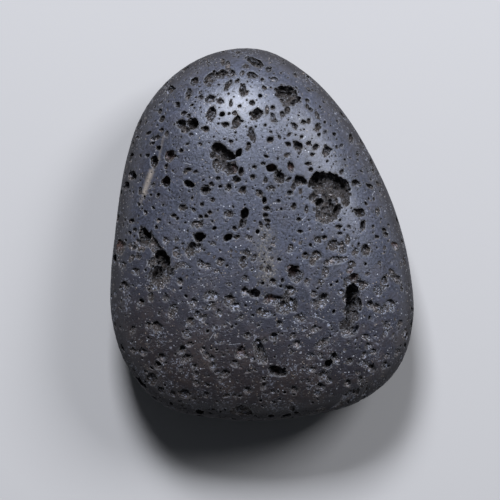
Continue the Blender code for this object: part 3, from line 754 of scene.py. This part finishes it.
def new_group(name, inputs, outputs):
    tree = bpy.data.node_groups.new(name, "ShaderNodeTree")
    for label, kind, value in inputs:
        socket = tree.interface.new_socket(label, in_out="INPUT", socket_type="NodeSocket" + kind)
        socket.default_value = value
    for label, kind in outputs:
        tree.interface.new_socket(label, in_out="OUTPUT", socket_type="NodeSocket" + kind)
    return tree, tree.nodes.new("NodeGroupInput").outputs, tree.nodes.new("NodeGroupOutput").inputs


PLACE = ("Place", "Vector", (0, 0, 0))  # in mm
GRAIN_STRAY = 0.9  # how far a grain strays out of its cell, as a share of the cell
GRAIN_STRAY_NOISE = (1.3, 1.0, 0.5)
GRAIN_EDGE = (0.5, 0.3)  # how far from its middle a grain begins and is full, as shares of the cell
DUST_BLOTCHES = (5.0, 0.65, 0.42, 0.68)  # their detail and roughness, and the values where they fade in
DUST_ALONG = (0.0, -22.0, 0.5, 1.3)  # from and to where in mm along the stone, and the amounts there
DUST_DOWN = (15.0, 5.0, 0.0, 0.9)  # the same down its sides
STREAK_NOISE = (3.0, 2.0, 0.7)
STREAK_EDGE = (1.5, 0.45)  # how far from its line a streak begins and is full, in widths
RIM_EDGE = (0.97, 0.75)  # the cosines of the turn from true to rounded normals where a rim begins and is full
RIM_SAMPLES = 6


def grains_group():
    """Separate grains strewn through the rock: each has its own tone, and a share of the cells is empty."""
    inputs = [PLACE, ("Size", "Float", 0.2), ("Share", "Float", 0.2)]
    tree, given, made = new_group("strewn grains", inputs, [("Mask", "Float"), ("Tone", "Float")])
    cell_place = scaled(tree, given["Place"], sums(tree, "DIVIDE", 1.0, given["Size"]))
    stray = noise_of(tree, cell_place, *GRAIN_STRAY_NOISE, output="Color")
    cell_place = vectors(tree, "MULTIPLY_ADD", stray, (GRAIN_STRAY,) * 3, cell_place)["Vector"]
    cells = node(tree, "ShaderNodeTexVoronoi", {"Vector": cell_place, "Scale": 1.0})
    chances = node(tree, "ShaderNodeSeparateColor", {"Color": cells.outputs["Color"]}).outputs
    grain = ramp(tree, cells.outputs["Distance"], *GRAIN_EDGE)
    kept = sums(tree, "LESS_THAN", chances["Red"], given["Share"])
    fill(tree, made, {"Mask": times(tree, grain, kept), "Tone": chances["Green"]})
    return tree


def dust_group():
    """Brown dust and iron stain: blotches that grow towards one end of the stone and down its sides."""
    inputs = [PLACE, ("Amount", "Float", 0.3), ("Blotch Size", "Float", 2.0)]
    tree, given, made = new_group("brown dust", inputs, [("Mask", "Float")])
    fineness = sums(tree, "DIVIDE", 1.0, given["Blotch Size"])
    blotches = patches(tree, given["Place"], fineness, *DUST_BLOTCHES)
    parts = parts_of(tree, given["Place"])
    amount = plus(tree, ramp(tree, parts["Y"], *DUST_ALONG), ramp(tree, parts["Z"], *DUST_DOWN))
    amount = times(tree, amount, given["Amount"])
    fill(tree, made, {"Mask": times(tree, blotches, amount)})
    return tree


def streak_group():
    """A band rubbed from one point to another as seen from above, ragged at its sides and its ends."""
    inputs = [PLACE, ("Start", "Vector", (0, 0, 0)), ("End", "Vector", (0, 1, 0)), ("Width", "Float", 0.5)]
    tree, given, made = new_group("rubbed streak", inputs, [("Mask", "Float")])
    run = vectors(tree, "SUBTRACT", given["End"], given["Start"])["Vector"]
    from_start = vectors(tree, "SUBTRACT", given["Place"], given["Start"])["Vector"]
    from_start = vectors(tree, "MULTIPLY", from_start, (1, 1, 0))["Vector"]
    along = vectors(tree, "DOT_PRODUCT", from_start, run)["Value"]
    share = sums(tree, "DIVIDE", along, vectors(tree, "DOT_PRODUCT", run, run)["Value"])
    share = node(tree, "ShaderNodeClamp", {"Value": share}).outputs[0]
    away = vectors(tree, "DISTANCE", from_start, scaled(tree, run, share))["Value"]
    ragged = plus(tree, away, noise_of(tree, given["Place"], *STREAK_NOISE), given["Width"])
    fill(tree, made, {"Mask": ramp(tree, sums(tree, "DIVIDE", ragged, given["Width"]), *STREAK_EDGE)})
    return tree


def rims_group():
    """The rims of the pits, rounded by tumbling; the finishes paint them paler there, partly rubbed wear and
    partly a painted highlight.
    """
    outputs = [("Mask", "Float"), ("Normal", "Vector")]
    tree, given, made = new_group("rounded rims with painted highlight", [("Wear", "Float", 0.3)], outputs)
    radius = times(tree, given["Wear"], MM)
    rounded = node(tree, "ShaderNodeBevel", {"Radius": radius}, samples=RIM_SAMPLES).outputs["Normal"]
    sharp = node(tree, "ShaderNodeNewGeometry").outputs["Normal"]
    likeness = vectors(tree, "DOT_PRODUCT", rounded, sharp)["Value"]
    fill(tree, made, {"Mask": ramp(tree, likeness, *RIM_EDGE), "Normal": rounded})
    return tree


grains = grains_group()
rims = rims_group()
dust = dust_group()
streak = streak_group()


def use(tree, group, **inputs):
    """Puts a group into a material. An underscore in an input's name stands for a space."""
    spaced = {name.replace("_", " "): value for name, value in inputs.items()}
    return node(tree, "ShaderNodeGroup", spaced, node_tree=group).outputs


def place_in_mm(tree):
    return scaled(tree, node(tree, "ShaderNodeTexCoord").outputs["Object"], 1 / MM)


def painted(tree, colour, layers):
    """A colour with layers over it: each has a mask, the share that it hides where that is 1, and a paint."""
    for mask, share, paint in layers:
        colour = blend(tree, times(tree, mask, share), colour, paint)
    return colour


def raised(tree, ground, rises):
    """The normals of a surface raised by each mask times its number of mm, over the ground's own normals."""
    height = 0.0
    for mask, rise in rises:
        height = plus(tree, height, mask, rise)
    values = {"Height": height, "Distance": MM, "Strength": 1.0, "Normal": ground}
    return node(tree, "ShaderNodeBump", values).outputs["Normal"]


# Unevenness in the rock: how many swells a mm holds, how much finer detail, and how rough that is.
CLOUDS = (0.3, 4.0, 0.6)
MOTTLE = (3.0, 2.0, 0.85)
CRYSTALS = (3.4, 2.5, 0.85)
LUMPS = (1.1, 1.0, 0.5)
# Patches: the same, the values from which and to which they fade in, and for some their least and most.
CLUSTERS = (0.5, 3.0, 0.7, 0.42, 0.6, 0.25, 1.0)
TAN_PATCHES = (0.9, 1.0, 0.5, 0.4, 0.6)
CRUST = (0.42, 2.0, 0.6, 0.5, 0.66)
CRUMBS = (2.7, 2.0, 0.8, 0.52, 0.64)
SPECKS = (4.0, 2.0, 0.9, 0.47, 0.62)
HOLLOWS = (1.6, 2.5, 0.7, 0.56, 0.48)
TAN_WALLS = (1.3, 2.0, 0.5, 0.46, 0.6, 0.0, 0.7)

# Where the finish changes: from and to which place in mm along the stone.
# where painted shade darkens the skin towards the end away from the window, and where the skin is worn less
SHADED_AND_LESS_WORN = (2.0, -17.0)
# painted shade: where the skin turns darker and browner towards the end away from the window
SHADED_BROWN_END = (-8.0, -22.0)
FROSTED_WALLS = (0.0, -10.0)
DUSTY_WALLS = (-11.0, -23.0)
SKIN_SLANT, WALL_SLANT = 0.3, 0.5  # how much each mm towards +X counts as mm along the stone
# painted shade: the depths over which it darkens the walls
SHADE_DEPTHS = (0.6, 2.4, 0.0, 0.8)  # from and to which depth in mm the walls darken, and the shares there
FLANKS = (0.8, 0.35)  # the upward share of the skin's normal, on the faces and down the sides

SKIN_DARK = (0.016, 0.017, 0.023, 1)
SKIN_LIGHT = (0.046, 0.050, 0.072, 1)
# painted shade: the skin darker towards the end away from the window and towards its lower left
SOUTH_SHADE = (0.015, 0.0135, 0.0185, 1)
# painted shade, dark brown, at the end away from the window
END_SHADE_BROWN = (0.016, 0.0105, 0.0090, 1)
# painted shade down the sides
FLANK_SHADE = (0.015, 0.011, 0.0095, 1)
BROWN = (0.060, 0.042, 0.031, 1)
PALE_GRAIN = (0.42, 0.44, 0.48, 1)
TAN_GRAIN = (0.26, 0.215, 0.165, 1)
# painted shade in the pores too fine to be cut
PORE_SHADE = (0.010, 0.010, 0.011, 1)
FROST = (0.20, 0.21, 0.25, 1)
# partly rubbed wear and partly a painted highlight on the rounded rims
RIM_PALE_AND_HIGHLIGHT = (0.16, 0.155, 0.15, 1)
# painted reflection: a blue tint on the skin's reflections, standing for a blue sky
SKY_SHEEN_TINT = (0.80, 0.87, 1.0, 1)
SKIN_TONES = (0.83, 1.31)  # the sums of clouds and mottle that give the dark and the light
CLOUD_WEIGHT, MOTTLE_WEIGHT = 0.45, 1.7
SKIN_GRAIN, WALL_GRAIN, PORE = 0.2, 0.18, 0.24  # mm
SKIN_GRAIN_SHARES = (0.14, 0.26)  # of the cells, where the skin is worn most and least
PORE_SHARES = (0.22, 0.34)
WALL_GRAIN_SHARES = (0.3, 0.6)
SKIN_ROUGHNESS = (0.34, 0.7)  # on the faces and down the sides
WALL_ROUGHNESS = (0.75, 0.45)  # between the crystals and on them
COAT_WEIGHTS = (0.26, 0.0)  # where the skin is worn most and least
COAT_ROUGHNESS = 0.3
SPECULAR = 0.6
RIM_WEAR = 0.3  # mm that the rims are rounded by wear

# A pale tan streak down one side, along a ridge: partly rubbed wear, partly a painted reflection of the light
# the ridge catches.
# With its width and strength from each point to the next.
RUB_AND_GLEAM_LINE = [(-13.1, 12.9, 0), (-13.7, 10.0, 0), (-14.7, 8.3, 0), (-15.7, 5.4, 0), (-16.1, 4.3, 0)]
RUB_AND_GLEAM_WIDTHS = [0.3, 0.4, 0.6, 0.4]
RUB_AND_GLEAM_STRENGTHS = [0.3, 0.5, 0.95, 0.35]
RUB_AND_GLEAM_PALE = (0.27, 0.235, 0.195, 1)
SCRATCHES = [  # the start and end of fine pale scratches on the domed face
    ((-4.4, -14.6, 0), (-2.9, -14.45, 0)), ((-7.0, -14.0, 0), (-6.4, -13.1, 0)),
    ((-4.7, -11.5, 0), (-3.6, -12.4, 0)), ((7.2, -10.9, 0), (8.8, -11.6, 0)),
    ((5.3, 1.9, 0), (5.85, 2.4, 0)), ((-10.4, 9.45, 0), (-9.4, 9.2, 0)), ((14.6, 5.2, 0), (14.9, 5.7, 0)),
]
SCRATCH_WIDTH = 0.055
DUSTED = ((0.2, -0.2, 0), (0.7, -5.2, 0))  # the start and end of a band of golden dust
DUSTED_WIDTH = 2.4
GOLD_DUST = (0.19, 0.17, 0.13, 1)

WALL_DARK = (0.014, 0.013, 0.014, 1)
WALL_BROWN = (0.040, 0.027, 0.020, 1)
WALL_LIGHT = (0.22, 0.23, 0.27, 1)
WALL_FROSTED = (0.34, 0.37, 0.46, 1)
WALL_TAN = (0.33, 0.27, 0.23, 1)
# painted shade in the walls' hollows and depths
HOLLOW_SHADE = (0.026, 0.019, 0.015, 1)
RUST = (0.12, 0.042, 0.024, 1)


def polished_skin():
    """Satin blue-black skin, duller where the tumbling has worn it less; painted shade makes it darker
    towards the end away from the window and down its sides, and browner at that end.
    """
    tree = skin_finish.node_tree
    shader = tree.nodes["Principled BSDF"]
    place = place_in_mm(tree)
    parts = parts_of(tree, place)
    facing = parts_of(tree, node(tree, "ShaderNodeNewGeometry").outputs["Normal"])
    side = ramp(tree, sums(tree, "ABSOLUTE", facing["Z"], 0.0), *FLANKS)
    towards_end = plus(tree, parts["Y"], parts["X"], SKIN_SLANT)
    # south: painted shade away from the window, which also marks where the skin is worn less
    south = ramp(tree, towards_end, *SHADED_AND_LESS_WORN)
    worn_less = sums(tree, "MAXIMUM", side, south)
    rim = use(tree, rims, Wear=RIM_WEAR)

    # Feldspar grains in clusters, pores too fine to be cut, painted as spots of shade, and a frosted crust
    # where it is worn less.
    clouds = noise_of(tree, place, *CLOUDS)
    mottle = noise_of(tree, place, *MOTTLE)
    clusters = patches(tree, place, *CLUSTERS)
    share = times(tree, ramp(tree, worn_less, 0.0, 1.0, *SKIN_GRAIN_SHARES), clusters)
    pale = use(tree, grains, Place=place, Size=SKIN_GRAIN, Share=share)
    grain_tone = blend(tree, patches(tree, place, *TAN_PATCHES), PALE_GRAIN, TAN_GRAIN)
    share = ramp(tree, worn_less, 0.0, 1.0, *PORE_SHARES)
    pores = use(tree, grains, Place=place, Size=PORE, Share=share)
    crust = times(tree, patches(tree, place, *CRUST), worn_less)
    frost = times(tree, crust, patches(tree, place, *CRUMBS))

    # The streak along the ridge, partly rubbed and partly a painted reflection, the scratches and the golden
    # dust.
    # rubbed: the streak along the ridge, partly rubbed wear and partly a painted reflection
    rubbed = 0.0
    for start, end, width, strength in zip(RUB_AND_GLEAM_LINE, RUB_AND_GLEAM_LINE[1:], RUB_AND_GLEAM_WIDTHS, RUB_AND_GLEAM_STRENGTHS):
        line = use(tree, streak, Place=place, Start=start, End=end, Width=width)["Mask"]
        rubbed = sums(tree, "MAXIMUM", times(tree, line, strength), rubbed)
    scratched = 0.0
    for start, end in SCRATCHES:
        line = use(tree, streak, Place=place, Start=start, End=end, Width=SCRATCH_WIDTH)["Mask"]
        scratched = sums(tree, "MAXIMUM", line, scratched)
    band = use(tree, streak, Place=place, Start=DUSTED[0], End=DUSTED[1], Width=DUSTED_WIDTH)["Mask"]
    specks = times(tree, patches(tree, place, *SPECKS), clusters)

    tone = plus(tree, times(tree, clouds, CLOUD_WEIGHT), mottle, MOTTLE_WEIGHT)
    ground = blend(tree, ramp(tree, tone, *SKIN_TONES), SKIN_DARK, SKIN_LIGHT)
    colour = painted(tree, ground, [
        # painted shade towards the end away from the window
        (south, 0.85, SOUTH_SHADE),
        # painted shade, browner, at the far end
        (ramp(tree, towards_end, *SHADED_BROWN_END), 0.85, END_SHADE_BROWN),
        (use(tree, dust, Place=place, Amount=0.3, Blotch_Size=2.5)["Mask"], 1.0, BROWN),
        # painted shade down the sides
        (side, 0.93, FLANK_SHADE),
        (pale["Mask"], sums(tree, "POWER", pale["Tone"], 2.0), grain_tone),
        (frost, 0.75, FROST),
        # rims: partly rubbed paler, partly a painted highlight
        (rim["Mask"], 0.55, RIM_PALE_AND_HIGHLIGHT),
        # the streak along the ridge: partly rubbed wear, partly a painted reflection
        (rubbed, ramp(tree, mottle, 0.3, 0.6, 0.45, 1.0), RUB_AND_GLEAM_PALE),
        (scratched, 0.6, PALE_GRAIN),
        (band, plus(tree, 0.12, specks, 0.6), GOLD_DUST),
        # pores: painted shade
        (pores["Mask"], plus(tree, 0.25, pores["Tone"], 0.7), PORE_SHADE),
    ])
    roughness = plus(tree, ramp(tree, side, 0.0, 1.0, *SKIN_ROUGHNESS), south, 0.12)
    rises = [(mottle, 0.065), (clouds, 0.05), (pores["Mask"], -0.05), (pale["Mask"], 0.012), (frost, 0.07)]
    fill(tree, shader.inputs, {
        "Base Color": colour,
        "Roughness": plus(tree, roughness, mottle, 0.2),
        "Coat Weight": ramp(tree, worn_less, 0.0, 1.0, *COAT_WEIGHTS),
        "Coat Roughness": COAT_ROUGHNESS,
        "Specular IOR Level": SPECULAR,
        # painted reflection of a blue sky
        "Specular Tint": SKY_SHEEN_TINT,
        "Normal": raised(tree, rim["Normal"], rises),
    })


def bubble_wall():
    """Matt crystalline walls: painted shade blackens their hollows and depths; frosted in the shallow chips,
    rusty in a few places.
    """
    tree = wall_finish.node_tree
    shader = tree.nodes["Principled BSDF"]
    place = place_in_mm(tree)
    parts = parts_of(tree, place)
    south = ramp(tree, parts["Y"], *FROSTED_WALLS)
    rim = use(tree, rims, Wear=RIM_WEAR)

    # Crystals with dark and brown rock between them.
    crystals = noise_of(tree, place, *CRYSTALS)
    light = blend(tree, south, WALL_LIGHT, WALL_FROSTED)
    light = blend(tree, patches(tree, place, *TAN_WALLS), light, WALL_TAN)
    dusted = use(tree, dust, Place=place, Amount=0.8, Blotch_Size=0.9)["Mask"]
    lumps = sums(tree, "SUBTRACT", noise_of(tree, place, *LUMPS), 0.5)
    clumped = ramp(tree, plus(tree, crystals, lumps, 0.3), 0.45, 0.58)
    ground = blend(tree, clumped, blend(tree, dusted, WALL_DARK, WALL_BROWN), light)

    # Painted shade in the hollows, darker the deeper they lie; feldspar grains and iron stain.
    hollows = patches(tree, place, *HOLLOWS)
    deep = node(tree, "ShaderNodeAttribute", attribute_name="depth").outputs["Fac"]
    # dark: painted shade in the hollows and the depths
    dark = sums(tree, "MAXIMUM", times(tree, hollows, 0.85), ramp(tree, deep, *SHADE_DEPTHS))
    share = ramp(tree, south, 0.0, 1.0, *WALL_GRAIN_SHARES)
    pale = use(tree, grains, Place=place, Size=WALL_GRAIN, Share=share)
    rust = node(tree, "ShaderNodeAttribute", attribute_name="rust").outputs["Fac"]
    towards_end = plus(tree, parts["Y"], parts["X"], WALL_SLANT)
    colour = painted(tree, ground, [
        (dark, 1.0, HOLLOW_SHADE),
        (pale["Mask"], sums(tree, "POWER", pale["Tone"], 1.3), PALE_GRAIN),
        (rust, ramp(tree, crystals, 0.4, 0.6, 0.2, 0.7), RUST),
        (ramp(tree, towards_end, *DUSTY_WALLS), 0.5, WALL_BROWN),
        # rims: partly rubbed paler, partly a painted highlight
        (rim["Mask"], 0.4, RIM_PALE_AND_HIGHLIGHT),
    ])
    rises = [(crystals, 0.6), (pale["Mask"], 0.04), (hollows, -0.2)]
    fill(tree, shader.inputs, {
        "Base Color": colour,
        "Roughness": ramp(tree, crystals, 0.3, 0.7, *WALL_ROUGHNESS),
        "Normal": raised(tree, rim["Normal"], rises),
    })


for finish in (skin_finish, wall_finish):
    finish.use_nodes = True
polished_skin()
bubble_wall()
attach(stone, "root")
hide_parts("lava_stone")


# ---- The studio ----
# A pale plain floor under a dim sky, a large soft lamp like a window beyond the stone's narrow end, a
# weaker one to its right, and a camera straight above.

FLOOR_SIDE = 2.0
FLOOR_COLOUR = (0.40, 0.395, 0.385, 1)
FLOOR_ROUGHNESS = 0.9
LAMP_AWAY = 0.6
LAMPS = [  # name, rise, turn to the left of the stone's length (degrees), side (m), watts and colour
    ("window", 49, 9, 0.155, 5.1, (0.94, 0.97, 1.07)),
    ("side window", 43, -50, 0.22, 2.7, (0.95, 0.97, 1.05)),
]
SKY = (0.55, 0.60, 0.70, 1)
SKY_STRENGTH = 0.09
CAMERA_AWAY = 0.6
NEAREST_SEEN = 0.01
FRAME_PIXELS = 500
STONE_PIXELS = 373  # the stone's length in the frame
STONE_MIDDLE = (262, 234.5)  # where its middle lies in the frame, in pixels from the top left

floor_mesh = bmesh.new()
bmesh.ops.create_grid(floor_mesh, x_segments=1, y_segments=1, size=FLOOR_SIDE / 2)
floor = link("floor", bpy.data.meshes.new("floor"))
floor_mesh.to_mesh(floor.data)
floor_mesh.free()
paper = bpy.data.materials.new("pale paper")
paper.use_nodes = True
paper_inputs = paper.node_tree.nodes["Principled BSDF"].inputs
fill(paper.node_tree, paper_inputs, {"Base Color": FLOOR_COLOUR, "Roughness": FLOOR_ROUGHNESS})
floor.data.materials.append(paper)

middle = (stone_low + stone_high) / 2
for name, rise, turn, side, power, colour in LAMPS:
    lamp_data = bpy.data.lights.new(name, "AREA")
    lamp_data.size = side
    lamp_data.energy = power
    lamp_data.color = colour
    lamp = link(name, lamp_data)
    rise = math.radians(rise)
    turn = math.radians(turn)
    towards = Vector((-math.sin(turn) * math.cos(rise), math.cos(turn) * math.cos(rise), math.sin(rise)))
    lamp.location = middle + towards * LAMP_AWAY
    lamp.rotation_euler = towards.to_track_quat("Z", "Y").to_euler()

world = bpy.data.worlds.new("room")
bpy.context.scene.world = world
world.use_nodes = True
sky_inputs = world.node_tree.nodes["Background"].inputs
fill(world.node_tree, sky_inputs, {"Color": SKY, "Strength": SKY_STRENGTH})

pixel = (stone_high.y - stone_low.y) / STONE_PIXELS
aim = Vector((
    middle.x + (FRAME_PIXELS / 2 - STONE_MIDDLE[0]) * pixel,
    middle.y + (STONE_MIDDLE[1] - FRAME_PIXELS / 2) * pixel,
    middle.z,
))
camera_data = bpy.data.cameras.new("camera")
camera_data.lens = camera_data.sensor_width * CAMERA_AWAY / (FRAME_PIXELS * pixel)
camera_data.clip_start = NEAREST_SEEN
camera = link("camera", camera_data)
camera.location = aim + Vector((0, 0, CAMERA_AWAY))
bpy.context.scene.camera = camera
bpy.context.scene.view_settings.view_transform = "Standard"
